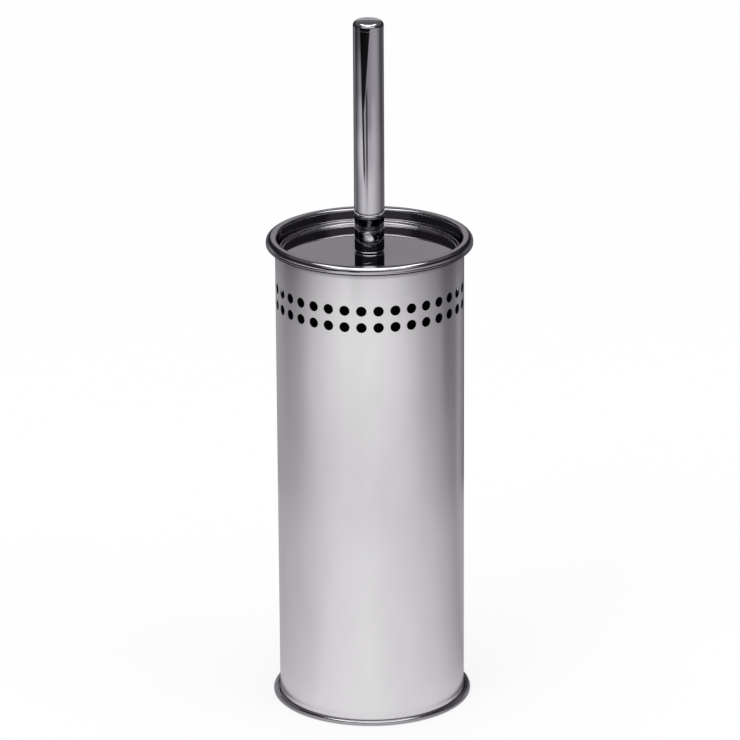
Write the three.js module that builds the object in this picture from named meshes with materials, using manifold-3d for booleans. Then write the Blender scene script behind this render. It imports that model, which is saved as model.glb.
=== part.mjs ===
// Toilet brush and its steel canister, in millimetres, +Z up.
// Origin: the centre of the base, on the floor. The front of the canister faces -Y.
// Four groups move against each other: the canister, the liner that stands in it, the lid that
// rests in its collar, and the brush that turns in the lid.

import * as THREE from 'three';
import { mergeVertices } from 'three/addons/utils/BufferGeometryUtils.js';
import Module from 'manifold-3d';

const wasm = await Module();
wasm.setup();

// ---------------------------------------------------------------- driving dimensions

const fitGap = 0.3; // left wherever two pieces touch

// canister shell: rolled sheet, butt welded down the back, with two rows of air holes
const shellRadius = 50;
const shellSheet = 0.4;
const shellHeight = 252.7;
const holesPerRow = 35;
const holeRadius = 2.5;
const holeRowPitch = 9;
const upperRowBelowTop = 22.1;
const seamWidth = 0.8;
const seamDepth = 0.15;

// base pan: pressed disc with a seat, a spigot inside the shell, a step that the shell stands on,
// a narrow groove round the step and a hollow rolled bead that the whole object stands on
const panSheet = 0.5;
const panStepHeight = 2.1;
const spigotHeight = 5.9;
const grooveWidth = 1;
const footBeadReach = 3.6;
const footBeadHeight = 2.5;
const footBeadShoulder = 0.9;
const seatDepth = 2;
const seatShoulder = 5.4;

// collar: pressed ring with a rolled bead over the shell's edge and a ledge for the lid
const collarSheet = 0.4;
const beadOverhang = 4.8;
const beadHeight = 4.7;
const beadCrown = 2.8;
const beadFootCorner = 0.9;
const beadMouthCorner = 0.8;
const mouthFlare = 0.5;
const shellInBead = 1.3;
const ledgeDepth = 8.8;
const ledgeReach = 3.6;

// lid: pressed disc with a rolled edge
const lidSheet = 0.4;
const lidPlay = 0.6;
const lidEdgeHeight = 1.9;
const lidRollRadius = 0.7;

// liner: plastic drip cup that stands in the base pan's seat
const linerWall = 1.5;
const linerHeight = 64;
const linerPlay = 1; // round the foot, in the seat
const linerDraft = 1;
const linerLipReach = 0.6;
const linerLipHeight = 2;

// handle
const handleRadius = 8.05;
const handleWall = 0.8;
const handleLength = 101.3;
const ferruleInset = 0.15;
const ferruleHeight = 19.4;
const ferruleSpigot = 14;
const capOverhang = 0.05;
const capHeight = 4.2;
const capCornerRadius = 1;
const capCrown = 0.2;
const capPlugLength = 10;
const edgeChamfer = 0.4;

// rod, nut and washer that hold the lid
const rodRadius = 4;
const rodInFerrule = 14;
const rodInStem = 22;
const washerRadius = 9;
const washerThickness = 1.2;
const nutAcrossFlats = 13;
const nutHeight = 6.5;

// stem and brush head
const stemRadius = 6;
const stemInSocket = 18;
const neckRadius = 8.6;
const neckLength = 12;
const neckConeLength = 9;
const coreRadius = 10.5;
const coreNose = 6;
const coreNoseRadius = 6.3; // of its flat end, where the nose tufts are set
const coreNoseChamfer = 1.2;
const tuftRingCount = 11;
const tuftsPerRing = 12;
const tuftRingPitch = 7.2;
const tuftBand = 1.2;
const bristlePlay = 4.8; // between the bristle tips and the liner's wall
const tuftRootWidth = 3.2;
const tuftTipWidth = 8;
const tuftRootHeight = 3.4;
const tuftRingGap = 0.6;
const noseTufts = 9;
const noseReach = 27;
const noseDroop = 5;
const noseClearance = 6.8; // under the lowest bristle tips

// facets round each kind of turned piece
const shellFacets = 2 * holesPerRow;
const rimFacets = 48;
const linerFacets = 40;
const rodFacets = 24;
const holeFacets = 10;

// ---------------------------------------------------------------- heights, worked out from the floor

const grooveZ = 2 * panSheet + fitGap; // the hem runs under the groove
const shellBottomZ = panStepHeight + fitGap;
const shellTopZ = shellBottomZ + shellHeight;
const panTopZ = panStepHeight + spigotHeight;
const seatZ = panTopZ - seatDepth;
const linerBottomZ = seatZ + fitGap;
const linerFloorZ = linerBottomZ + linerWall;
const beadBottomZ = shellTopZ - shellInBead;
const collarTopZ = beadBottomZ + beadHeight;
const ledgeZ = collarTopZ - ledgeDepth;
const lidUnderZ = ledgeZ + fitGap;
const lidFloorZ = lidUnderZ + lidSheet;
const ferruleBottomZ = lidFloorZ + fitGap;
const ferruleTopZ = ferruleBottomZ + ferruleHeight;
const handleBottomZ = ferruleTopZ + fitGap;
const handleTopZ = handleBottomZ + handleLength;
const capBottomZ = handleTopZ + fitGap;
const capTopZ = capBottomZ + capHeight;
const washerTopZ = lidUnderZ - fitGap;
const washerBottomZ = washerTopZ - washerThickness;
const nutTopZ = washerBottomZ - fitGap;
const nutBottomZ = nutTopZ - nutHeight;
const stemTopZ = nutBottomZ - fitGap;

// the head is placed from the liner's floor up, and the stem fills what is left under the nut
const tuftTipHeight = tuftRingPitch - tuftRingGap;
const noseTuftZ = linerFloorZ + noseClearance + tuftTipHeight / 2 + noseDroop;
const coreBottomZ = noseTuftZ + tuftRootHeight / 2 + fitGap;
const coreTopZ = coreBottomZ + coreNose + tuftRingCount * tuftRingPitch;
const neckTopZ = coreTopZ + neckConeLength + neckLength;
const socketBottomZ = neckTopZ - stemInSocket;
const stemBottomZ = socketBottomZ + fitGap;

// ---------------------------------------------------------------- radii, worked out from the shell

const rodBore = rodRadius + fitGap;
const shellBore = shellRadius - shellSheet;
const spigotRadius = shellBore - fitGap;
const seatRadius = spigotRadius - seatShoulder;
const collarBore = spigotRadius - collarSheet;
const mouthRadius = shellRadius + mouthFlare;
const ledgeBore = collarBore - ledgeReach;
const lidRadius = collarBore - lidPlay;
const linerFootRadius = seatRadius - linerPlay;
const linerFootBore = linerFootRadius - linerWall;
const bristleRadius = linerFootBore - bristlePlay;
const tubeBore = handleRadius - handleWall;
const ferruleRadius = handleRadius - ferruleInset;
const capRadius = handleRadius + capOverhang;

// ---------------------------------------------------------------- geometry helpers

const degrees = Math.PI / 180;

// points of an arc in the r-z plane, both ends included
function arc(centreR, centreZ, radius, fromDegrees, toDegrees, steps) {
  return Array.from({ length: steps + 1 }, (unused, step) => {
    const angle = (fromDegrees + (toDegrees - fromDegrees) * step / steps) * degrees;
    return [centreR + radius * Math.cos(angle), centreZ + radius * Math.sin(angle)];
  });
}

// one closed body: shared vertices merged, no collapsed faces, faces pointing out
function closedBody(geometry) {
  geometry.deleteAttribute('normal');
  geometry.deleteAttribute('uv');
  const merged = mergeVertices(geometry, 1e-4);
  const corners = merged.index.array;
  const position = merged.attributes.position;
  const [a, b, c] = [new THREE.Vector3(), new THREE.Vector3(), new THREE.Vector3()];
  const kept = [];
  let volume = 0;
  for (let i = 0; i < corners.length; i += 3) {
    const [p, q, r] = corners.slice(i, i + 3);
    if (p === q || q === r || r === p) continue;
    kept.push(p, q, r);
    a.fromBufferAttribute(position, p);
    b.fromBufferAttribute(position, q);
    c.fromBufferAttribute(position, r);
    volume += a.dot(b.cross(c)) / 6;
  }
  merged.setIndex(volume < 0 ? kept.reverse() : kept);
  return merged;
}

// solid turned about Z from a profile of [r, z] points
function turned(profile, facets, startAngle = 0) {
  const points = profile.map(([r, z]) => new THREE.Vector2(r, z));
  const geometry = new THREE.LatheGeometry(points, facets, startAngle);
  geometry.rotateX(Math.PI / 2);
  return closedBody(geometry);
}

function ringProfile(points) {
  return [...points, points[0]];
}

// outline of a pressed sheet: a path along its face, and the same path moved through the sheet
function sheetProfile(path, thickness) {
  const back = path.map(([r, z], i) => {
    const before = path[Math.max(i - 1, 0)];
    const after = path[Math.min(i + 1, path.length - 1)];
    const into = new THREE.Vector2(r - before[0], z - before[1]);
    const outOf = new THREE.Vector2(after[0] - r, after[1] - z);
    if (i === 0) into.copy(outOf);
    if (i === path.length - 1) outOf.copy(into);
    into.normalize();
    outOf.normalize();
    const reach = thickness / (1 + into.dot(outOf));
    return [r + reach * (into.y + outOf.y), z - reach * (into.x + outOf.x)];
  });
  return [...path, ...back.reverse()];
}

function toSolid(geometry) {
  return new wasm.Manifold(new wasm.Mesh({
    numProp: 3,
    vertProperties: new Float32Array(geometry.attributes.position.array),
    triVerts: new Uint32Array(geometry.index.array),
  }));
}

function toGeometry(solid) {
  const mesh = solid.getMesh();
  const geometry = new THREE.BufferGeometry();
  geometry.setAttribute('position', new THREE.BufferAttribute(mesh.vertProperties, 3));
  geometry.setIndex(new THREE.BufferAttribute(mesh.triVerts, 1));
  return geometry;
}

// ---------------------------------------------------------------- canister

function canisterShell() {
  const tube = turned(ringProfile([
    [shellBore, shellBottomZ],
    [shellRadius, shellBottomZ],
    [shellRadius, shellTopZ],
    [shellBore, shellTopZ],
  ]), shellFacets, Math.PI / shellFacets);

  const holePitch = 2 * Math.PI / holesPerRow;
  const upperRowZ = shellTopZ - upperRowBelowTop;
  const cutters = [];
  for (const rowZ of [upperRowZ, upperRowZ - holeRowPitch]) {
    for (let hole = 0; hole < holesPerRow; hole++) {
      const punch = new THREE.CylinderGeometry(holeRadius, holeRadius, 6 * shellSheet, holeFacets);
      punch.translate(0, -(shellRadius - shellSheet / 2), 0);
      punch.rotateZ((hole + 0.5) * holePitch);
      punch.translate(0, 0, rowZ);
      cutters.push(toSolid(closedBody(punch)));
    }
  }

  // the weld runs down the back, midway between two columns of holes
  const weld = new THREE.BoxGeometry(seamWidth, 2 * seamDepth, 2 * shellTopZ);
  weld.translate(0, -shellRadius, 0);
  weld.rotateZ(Math.PI - holePitch / 2);
  cutters.push(toSolid(closedBody(weld)));

  return toGeometry(toSolid(tube).subtract(wasm.Manifold.union(cutters)));
}

function basePan() {
  const grooveR = shellRadius + grooveWidth;
  const beadHalf = footBeadHeight / 2;
  const hemEnd = shellRadius + fitGap;
  return turned(sheetProfile([
    [0, seatZ],
    [seatRadius, seatZ],
    [seatRadius, panTopZ],
    [spigotRadius, panTopZ],
    [spigotRadius, panStepHeight],
    [shellRadius, panStepHeight],
    [shellRadius, grooveZ],
    [grooveR, grooveZ],
    ...arc(grooveR + footBeadShoulder, footBeadHeight - footBeadShoulder, footBeadShoulder, 180, 90, 2),
    ...arc(shellRadius + footBeadReach - beadHalf, beadHalf, beadHalf, 90, -90, 4),
    [hemEnd, 0],
  ], panSheet), rimFacets);
}

function collarRing() {
  const outerR = shellRadius + beadOverhang;
  const curlEnd = shellRadius + 2 * fitGap;
  return turned(ringProfile(sheetProfile([
    [ledgeBore, ledgeZ],
    [collarBore, ledgeZ],
    [collarBore, shellTopZ],
    ...arc(mouthRadius + beadMouthCorner, collarTopZ - beadMouthCorner, beadMouthCorner, 150, 90, 2),
    ...arc(outerR - beadCrown, collarTopZ - beadCrown, beadCrown, 90, 0, 4),
    ...arc(outerR - beadFootCorner, beadBottomZ + beadFootCorner, beadFootCorner, 0, -90, 2),
    [curlEnd, beadBottomZ],
  ], collarSheet)), rimFacets);
}

// ---------------------------------------------------------------- liner and lid

function dripLiner() {
  const topZ = linerBottomZ + linerHeight;
  const topR = linerFootRadius + linerDraft;
  const lipR = topR + linerLipReach;
  return turned([
    [0, linerBottomZ],
    [linerFootRadius, linerBottomZ],
    [topR, topZ - linerLipHeight],
    [lipR, topZ - linerLipHeight],
    [lipR, topZ],
    [topR - linerWall, topZ],
    [linerFootBore, linerFloorZ],
    [0, linerFloorZ],
  ], linerFacets);
}

function lidPlate() {
  const rollCentreR = lidRadius - lidRollRadius;
  const rollCentreZ = lidFloorZ + lidEdgeHeight - lidRollRadius;
  const uprightR = rollCentreR - lidRollRadius;
  return turned(ringProfile(sheetProfile([
    [rodBore, lidFloorZ],
    ...arc(uprightR - lidRollRadius, lidFloorZ + lidRollRadius, lidRollRadius, -90, 0, 2),
    ...arc(rollCentreR, rollCentreZ, lidRollRadius, 180, 0, 3),
    [lidRadius, rollCentreZ - lidRollRadius / 2],
  ], lidSheet)), rimFacets);
}

// ---------------------------------------------------------------- handle

function handleTube() {
  return turned(ringProfile([
    [tubeBore, handleBottomZ],
    [handleRadius - edgeChamfer, handleBottomZ],
    [handleRadius, handleBottomZ + edgeChamfer],
    [handleRadius, handleTopZ],
    [tubeBore, handleTopZ],
  ]), rodFacets);
}

function handleCap() {
  const plugR = tubeBore - fitGap;
  const cornerR = capRadius - capCornerRadius;
  return turned([
    [0, capBottomZ - capPlugLength],
    [plugR, capBottomZ - capPlugLength],
    [plugR, capBottomZ],
    [capRadius, capBottomZ],
    ...arc(cornerR, capTopZ - capCrown - capCornerRadius, capCornerRadius, 0, 90, 3),
    [0, capTopZ],
  ], rodFacets);
}

function ferrule() {
  const spigotR = tubeBore - fitGap;
  const boreEndZ = ferruleBottomZ + rodInFerrule + fitGap;
  return turned([
    [0, boreEndZ],
    [rodBore, boreEndZ],
    [rodBore, ferruleBottomZ],
    [ferruleRadius - edgeChamfer, ferruleBottomZ],
    [ferruleRadius, ferruleBottomZ + edgeChamfer],
    [ferruleRadius, ferruleTopZ],
    [spigotR, ferruleTopZ],
    [spigotR, ferruleTopZ + ferruleSpigot],
    [0, ferruleTopZ + ferruleSpigot],
  ], rodFacets);
}

function threadedRod() {
  const topZ = ferruleBottomZ + rodInFerrule;
  const bottomZ = stemTopZ - rodInStem;
  return turned([
    [0, bottomZ],
    [rodRadius - edgeChamfer, bottomZ],
    [rodRadius, bottomZ + edgeChamfer],
    [rodRadius, topZ - edgeChamfer],
    [rodRadius - edgeChamfer, topZ],
    [0, topZ],
  ], rodFacets);
}

function lidWasher() {
  return turned(ringProfile([
    [rodBore, washerBottomZ],
    [washerRadius, washerBottomZ],
    [washerRadius, washerTopZ],
    [rodBore, washerTopZ],
  ]), rodFacets);
}

function lockNut() {
  const outline = new THREE.Shape();
  for (let corner = 0; corner < 6; corner++) {
    const angle = (corner + 0.5) * 60 * degrees;
    const reach = nutAcrossFlats / 2 / Math.cos(30 * degrees);
    const point = [reach * Math.cos(angle), reach * Math.sin(angle)];
    if (corner === 0) outline.moveTo(...point);
    else outline.lineTo(...point);
  }
  outline.holes.push(new THREE.Path().absarc(0, 0, rodBore, 0, 2 * Math.PI, true));
  const geometry = new THREE.ExtrudeGeometry(outline, {
    depth: nutHeight, bevelEnabled: false, curveSegments: rodFacets,
  });
  geometry.translate(0, 0, nutBottomZ);
  return closedBody(geometry);
}

// ---------------------------------------------------------------- stem and brush head

function stem() {
  const boreEndZ = stemTopZ - rodInStem - fitGap;
  return turned([
    [0, stemBottomZ],
    [stemRadius, stemBottomZ],
    [stemRadius, stemTopZ],
    [rodBore, stemTopZ],
    [rodBore, boreEndZ],
    [0, boreEndZ],
  ], rodFacets);
}

function headCore() {
  const socketR = stemRadius + fitGap;
  return turned([
    [0, coreBottomZ],
    [coreNoseRadius, coreBottomZ + coreNoseChamfer],
    [coreRadius, coreBottomZ + coreNose],
    [coreRadius, coreTopZ],
    [neckRadius, coreTopZ + neckConeLength],
    [neckRadius, neckTopZ],
    [socketR, neckTopZ],
    [socketR, socketBottomZ],
    [0, socketBottomZ],
  ], rodFacets);
}

// A ring of bristle tufts, joined at their roots. Each tuft widens and thickens outwards, and the
// tips droop below the roots.
function tuftRing({ boreRadius, rootRadius, tipRadius, tufts, turn, droop }) {
  const outline = new THREE.Shape();
  const pitch = 2 * Math.PI / tufts;
  for (let tuft = 0; tuft < tufts; tuft++) {
    const middle = (tuft + turn) * pitch;
    const rootHalf = tuftRootWidth / 2 / rootRadius;
    const tipHalf = tuftTipWidth / 2 / tipRadius;
    const corners = [
      [rootRadius, middle - rootHalf],
      [tipRadius, middle - tipHalf],
      [tipRadius, middle + tipHalf],
      [rootRadius, middle + rootHalf],
    ];
    corners.forEach(([radius, angle], i) => {
      const point = [radius * Math.cos(angle), radius * Math.sin(angle)];
      if (tuft === 0 && i === 0) outline.moveTo(...point);
      else outline.lineTo(...point);
    });
  }
  if (boreRadius > 0) {
    outline.holes.push(new THREE.Path().absarc(0, 0, boreRadius, 0, 2 * Math.PI, true));
  }
  const geometry = new THREE.ExtrudeGeometry(outline, {
    depth: 1, bevelEnabled: false, curveSegments: tufts,
  });
  const position = geometry.attributes.position;
  for (let i = 0; i < position.count; i++) {
    const radius = Math.hypot(position.getX(i), position.getY(i));
    const outward = THREE.MathUtils.clamp((radius - rootRadius) / (tipRadius - rootRadius), 0, 1);
    const height = THREE.MathUtils.lerp(tuftRootHeight, tuftTipHeight, outward);
    position.setZ(i, (position.getZ(i) - 0.5) * height - droop * outward);
  }
  return closedBody(geometry);
}

// ---------------------------------------------------------------- assembly

const finishes = {
  satinSteel: { color: 0xc9c5c8, roughness: 0.38, metalness: 1 },
  polishedSteel: { color: 0x9c9aa0, roughness: 0.08, metalness: 1 },
  chrome: { color: 0xb9b8bc, roughness: 0.05, metalness: 1 },
  zincSteel: { color: 0xa7a9ac, roughness: 0.35, metalness: 1 },
  blackPlastic: { color: 0x17171a, roughness: 0.5, metalness: 0 },
  linerPlastic: { color: 0x26262a, roughness: 0.45, metalness: 0 },
  bristle: { color: 0x111114, roughness: 0.7, metalness: 0 },
};

function piece(name, finish, geometry) {
  const mesh = new THREE.Mesh(geometry, new THREE.MeshStandardMaterial(finishes[finish]));
  mesh.name = name;
  return mesh;
}

const canister = new THREE.Group();
canister.add(
  piece('canister_shell', 'satinSteel', canisterShell()),
  piece('base_pan', 'polishedSteel', basePan()),
  piece('collar_ring', 'polishedSteel', collarRing()),
);

const liner = new THREE.Group();
liner.add(piece('drip_liner', 'linerPlastic', dripLiner()));

const lid = new THREE.Group();
lid.add(piece('lid_plate', 'polishedSteel', lidPlate()));

const brush = new THREE.Group();
brush.add(
  piece('handle_tube', 'chrome', handleTube()),
  piece('handle_cap', 'chrome', handleCap()),
  piece('ferrule', 'chrome', ferrule()),
  piece('threaded_rod', 'zincSteel', threadedRod()),
  piece('lid_washer', 'zincSteel', lidWasher()),
  piece('lock_nut', 'zincSteel', lockNut()),
  piece('stem', 'blackPlastic', stem()),
  piece('head_core', 'blackPlastic', headCore()),
);

const ringsSpan = (tuftRingCount - 1) * tuftRingPitch;
const lowestRingZ = coreTopZ - tuftRingPitch / 2 - ringsSpan;
for (let ring = 0; ring < tuftRingCount; ring++) {
  const mesh = piece(`tuft_ring_${String(ring + 1).padStart(2, '0')}`, 'bristle', tuftRing({
    boreRadius: coreRadius + fitGap,
    rootRadius: coreRadius + fitGap + tuftBand,
    tipRadius: bristleRadius,
    tufts: tuftsPerRing,
    turn: ring % 2 / 2,
    droop: 0,
  }));
  mesh.position.z = lowestRingZ + ring * tuftRingPitch;
  brush.add(mesh);
}

const noseTuftMesh = piece('nose_tufts', 'bristle', tuftRing({
  boreRadius: 0,
  rootRadius: coreNoseRadius,
  tipRadius: noseReach,
  tufts: noseTufts,
  turn: 0,
  droop: noseDroop,
}));
noseTuftMesh.position.z = noseTuftZ;
brush.add(noseTuftMesh);

const model = new THREE.Group();
model.add(canister, liner, lid, brush);

export default model;
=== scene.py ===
# Toilet brush in a perforated steel canister: the looks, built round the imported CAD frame.
# Sizes in the dictionaries are millimetres for the pieces, and metres for the finishes and the studio,
# unless a note says otherwise. Angles are degrees.
import bpy, bmesh, math, random
from mathutils import Matrix, Vector


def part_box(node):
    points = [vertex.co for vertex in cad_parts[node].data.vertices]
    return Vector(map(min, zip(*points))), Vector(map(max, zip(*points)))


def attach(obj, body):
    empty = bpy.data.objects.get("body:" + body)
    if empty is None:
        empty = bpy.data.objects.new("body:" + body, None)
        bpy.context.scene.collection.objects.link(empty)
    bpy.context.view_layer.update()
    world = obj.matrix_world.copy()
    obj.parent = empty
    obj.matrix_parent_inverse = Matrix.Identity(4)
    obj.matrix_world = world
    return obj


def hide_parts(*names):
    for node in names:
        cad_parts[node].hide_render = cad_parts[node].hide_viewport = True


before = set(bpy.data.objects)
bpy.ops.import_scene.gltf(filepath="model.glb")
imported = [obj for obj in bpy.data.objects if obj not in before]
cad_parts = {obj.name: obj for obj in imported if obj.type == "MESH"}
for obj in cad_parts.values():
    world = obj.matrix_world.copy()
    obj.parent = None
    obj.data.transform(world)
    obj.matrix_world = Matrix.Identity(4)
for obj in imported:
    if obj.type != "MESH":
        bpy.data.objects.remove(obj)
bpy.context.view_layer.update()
mm = 0.001
turn = 2 * math.pi
even = (1.0, 1.0, 1.0)  # a pattern that isn't stretched


# shader tools

class Wire:  # an output socket that can take part in Python sums
    def __init__(self, recipe, socket):
        self.recipe, self.socket = recipe, socket

    def maths(self, operation, *values):
        return self.recipe.node("ShaderNodeMath", {"operation": operation}, dict(enumerate(values)))

    def __add__(self, other): return self.maths("ADD", self, other)
    def __radd__(self, other): return self.maths("ADD", other, self)
    def __sub__(self, other): return self.maths("SUBTRACT", self, other)
    def __rsub__(self, other): return self.maths("SUBTRACT", other, self)
    def __mul__(self, other): return self.maths("MULTIPLY", self, other)
    def __rmul__(self, other): return self.maths("MULTIPLY", other, self)
    def __truediv__(self, other): return self.maths("DIVIDE", self, other)
    def __rtruediv__(self, other): return self.maths("DIVIDE", other, self)
    def __neg__(self): return self.maths("MULTIPLY", self, -1.0)
    def __abs__(self): return self.maths("ABSOLUTE", self)
    def atLeast(self, other): return self.maths("MAXIMUM", self, other)
    def root(self): return self.maths("SQRT", self)

    def rises(self, low, high):  # 0 below low, 1 above high, eased between
        return self.recipe.node("ShaderNodeMapRange", {"interpolation_type": "SMOOTHSTEP"},
                                {"Value": self, "From Min": low, "From Max": high})


class Recipe:  # one node tree and the single way that nodes get into it
    def __init__(self, owner):
        owner.use_nodes = True
        self.tree = owner.node_tree
        self.tree.nodes.clear()

    def node(self, kind, settings=None, inputs=None, output=0):
        made = self.tree.nodes.new(kind)
        for key, value in (settings or {}).items():
            if key == "stops":
                stops = made.color_ramp.elements  # a new ramp has two
                for index, (place, tone) in enumerate(value):
                    stop = stops[index] if index < 2 else stops.new(place)
                    stop.position, stop.color = place, (tone, tone, tone, 1)
            else:
                setattr(made, key, value)
        for key, value in (inputs or {}).items():
            if isinstance(value, Wire):
                self.tree.links.new(value.socket, made.inputs[key])
            else:
                made.inputs[key].default_value = value
        return Wire(self, made.outputs[output]) if made.outputs else None

    def place(self):  # Object coordinates
        return self.node("ShaderNodeTexCoord", output="Object")

    def axes(self, vector):
        parts = self.node("ShaderNodeSeparateXYZ", inputs={0: vector})
        return [Wire(self, parts.socket.node.outputs[i]) for i in range(3)]

    def noise(self, stretch, scale, detail, roughness):
        spread = self.node("ShaderNodeMapping", inputs={"Vector": self.place(), "Scale": stretch})
        return self.node("ShaderNodeTexNoise", inputs={
            "Vector": spread, "Scale": scale, "Detail": detail, "Roughness": roughness})

    def blend(self, share, *colours):  # each is a wire or three numbers
        first, second = [tone if isinstance(tone, Wire) else (*tone, 1) for tone in colours]
        return self.node("ShaderNodeMix", {"data_type": "RGBA"}, {"Factor": share, 6: first, 7: second},
                         output=2)

    def bump(self, height, depth):
        return self.node("ShaderNodeBump", inputs={"Height": height, "Distance": depth, "Strength": 1.0})

    def surface(self, **sockets):
        named = {key.replace("_", " "): value for key, value in sockets.items()}
        shader = self.node("ShaderNodeBsdfPrincipled", inputs=named)
        self.node("ShaderNodeOutputMaterial", inputs={"Surface": shader})


def newMaterial(name):
    material = bpy.data.materials.new(name)
    return material, Recipe(material)


# finishes

def satinSteel():  # cold-rolled sheet, its grain running round the canister
    spec = {"clean": (0.84, 0.83, 0.833), "wornShare": 0.94, "underCollarShade": (0.46, 0.45, 0.46),
            "underCollarShadeHeights": (0.2498, 0.2525),  # heights between which the painted shade under the collar sets in
            "grainScale": 900.0, "grainStretch": (0.02, 0.02, 1.0), "grainDepth": 0.004 * mm,
            "cloudScale": 26.0, "cloudStretch": (1.0, 1.0, 0.45), "anisotropy": 0.6, "grainTurn": 0.25,
            "roughness": 0.17, "grainRoughness": 0.05, "cloudRoughness": 0.04}
    material, r = newMaterial("satin steel")
    grain = r.noise(spec["grainStretch"], spec["grainScale"], 4.0, 0.6)
    cloud = r.noise(spec["cloudStretch"], spec["cloudScale"], 3.0, 0.55)
    height = r.axes(r.place())[2]
    secondTone = tuple(spec["wornShare"] * part for part in spec["clean"])
    sheet = r.blend(cloud.rises(0.35, 0.7), spec["clean"], secondTone)
    # the body is darkened just under the collar: painted shade for the seam there
    r.surface(Base_Color=r.blend(height.rises(*spec["underCollarShadeHeights"]), sheet, spec["underCollarShade"]), Metallic=1.0,
              Roughness=spec["roughness"] + spec["grainRoughness"] * grain + spec["cloudRoughness"] * cloud,
              Anisotropic=spec["anisotropy"], Anisotropic_Rotation=spec["grainTurn"],
              Normal=r.bump(grain, spec["grainDepth"]))
    return material


def polishedSteel(name, tone):  # collar, lid and base: mirror polish with faint wipe marks
    spec = {"dullShare": 0.93, "hazeScale": 34.0, "wipeScale": 420.0, "wipeStretch": (1.0, 0.12, 1.0),
            "roughness": 0.02, "hazeRoughness": 0.035, "wipeRoughness": 0.03}
    material, r = newMaterial(name)
    haze = r.noise(even, spec["hazeScale"], 4.0, 0.6)
    wipe = r.noise(spec["wipeStretch"], spec["wipeScale"], 3.0, 0.6)
    dull = tuple(spec["dullShare"] * part for part in tone)
    hazed = spec["roughness"] + spec["hazeRoughness"] * haze.rises(0.45, 0.8)
    r.surface(Base_Color=r.blend(haze.rises(0.4, 0.75), tone, dull), Metallic=1.0,
              Roughness=hazed + spec["wipeRoughness"] * wipe.rises(0.55, 0.8))
    return material


def handleChrome():
    spec = {"bright": (0.66, 0.65, 0.68), "hazed": (0.63, 0.62, 0.65), "hazeScale": 60.0,
            "hazeStretch": (1.0, 1.0, 0.3), "roughness": 0.03, "hazeRoughness": 0.04}
    material, r = newMaterial("handle chrome")
    haze = r.noise(spec["hazeStretch"], spec["hazeScale"], 4.0, 0.6)
    r.surface(Base_Color=r.blend(haze.rises(0.4, 0.75), spec["bright"], spec["hazed"]), Metallic=1.0,
              Roughness=spec["roughness"] + spec["hazeRoughness"] * haze.rises(0.5, 0.8))
    return material


def ferruleChrome():  # a dark base colour, with a pale, rougher patch and a thin pale line on it; the pale band round the foot is a painted highlight, and the pin hole's black is painted shade
    spec = {"darkBase": (0.20, 0.19, 0.22), "secondTone": (0.88, 0.87, 0.89), "hole": (0.002, 0.002, 0.002),
            "roughness": 0.06, "patchRoughness": 0.34, "holeRoughness": 0.3, "lineShare": 0.8,
            "mottleScale": 420.0, "mottle": 0.9, "foot": (0.2509, 0.2520), "radius": 7.9,  # mm, as below
            # azimuth, height, length and width in mm, and fall to the right
            "palePatch": (-3.0, 260.0, 4.0, 2.2, 33), "paleLine": (-9.0, 255.2, 3.4, 0.35, 12),
            "pin": (26.6, 259.1, 1.3, 1.3, 0)}
    material, r = newMaterial("ferrule chrome")
    mottle = r.noise((1.0, 1.0, 2.0), spec["mottleScale"], 3.0, 0.6)
    x, y, z = r.axes(r.place())
    around = x.maths("ARCTAN2", x, -y) * spec["radius"]

    def awayFrom(azimuth, height, length, width, fall):  # 0 in its middle and 1 at its edge
        right = around - math.radians(azimuth) * spec["radius"]
        up = z / mm - height
        cosine, sine = math.cos(math.radians(fall)), math.sin(math.radians(fall))
        along = (right * cosine - up * sine) / length
        across = (right * sine + up * cosine) / width
        return (along * along + across * across).root()

    palePatch = 1 - (awayFrom(*spec["palePatch"]) + spec["mottle"] * (mottle - 0.5)).rises(0.55, 1.0)
    paleLine = 1 - awayFrom(*spec["paleLine"]).rises(0.5, 1.0)
    secondTone = palePatch.atLeast(paleLine * spec["lineShare"])
    # the pale band round the foot is a painted highlight
    foot = 1 - z.rises(*spec["foot"])
    # the pin hole's dent is modelled in the mesh; its black is painted shade
    clear = awayFrom(*spec["pin"]).rises(0.95, 1.05)
    side = r.blend(secondTone.atLeast(foot), spec["darkBase"], spec["secondTone"])
    roughness = spec["roughness"] + spec["patchRoughness"] * secondTone
    r.surface(Base_Color=r.blend(clear, spec["hole"], side), Metallic=1.0,
              Roughness=roughness + spec["holeRoughness"] * (1 - clear))
    return material


def paintedShadeSteel():  # painted shade: the near-black inside of the sheet and its punched edges, far darker than bare steel
    spec = {"dark": (0.012, 0.0115, 0.0125), "pale": (0.030, 0.029, 0.031), "scale": 60.0,
            "stretch": (1.0, 1.0, 0.4), "roughness": 0.8, "scaleRoughness": 0.15, "shine": 0.04}
    material, r = newMaterial("painted shade steel")
    scale = r.noise(spec["stretch"], spec["scale"], 4.0, 0.6)
    r.surface(Base_Color=r.blend(scale, spec["dark"], spec["pale"]),
              Roughness=spec["roughness"] + spec["scaleRoughness"] * scale, Specular_IOR_Level=spec["shine"])
    return material


def paintedSeamShade():  # painted shade: the dead black of a shaded tight seam under a rolled edge
    spec = {"dark": (0.002, 0.002, 0.002), "pale": (0.006, 0.006, 0.006), "dustScale": 300.0,
            "roughness": 0.85, "dustRoughness": 0.1, "shine": 0.05}
    material, r = newMaterial("painted seam shade")
    dust = r.noise(even, spec["dustScale"], 3.0, 0.6)
    r.surface(Base_Color=r.blend(dust, spec["dark"], spec["pale"]),
              Roughness=spec["roughness"] + spec["dustRoughness"] * dust, Specular_IOR_Level=spec["shine"])
    return material


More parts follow.
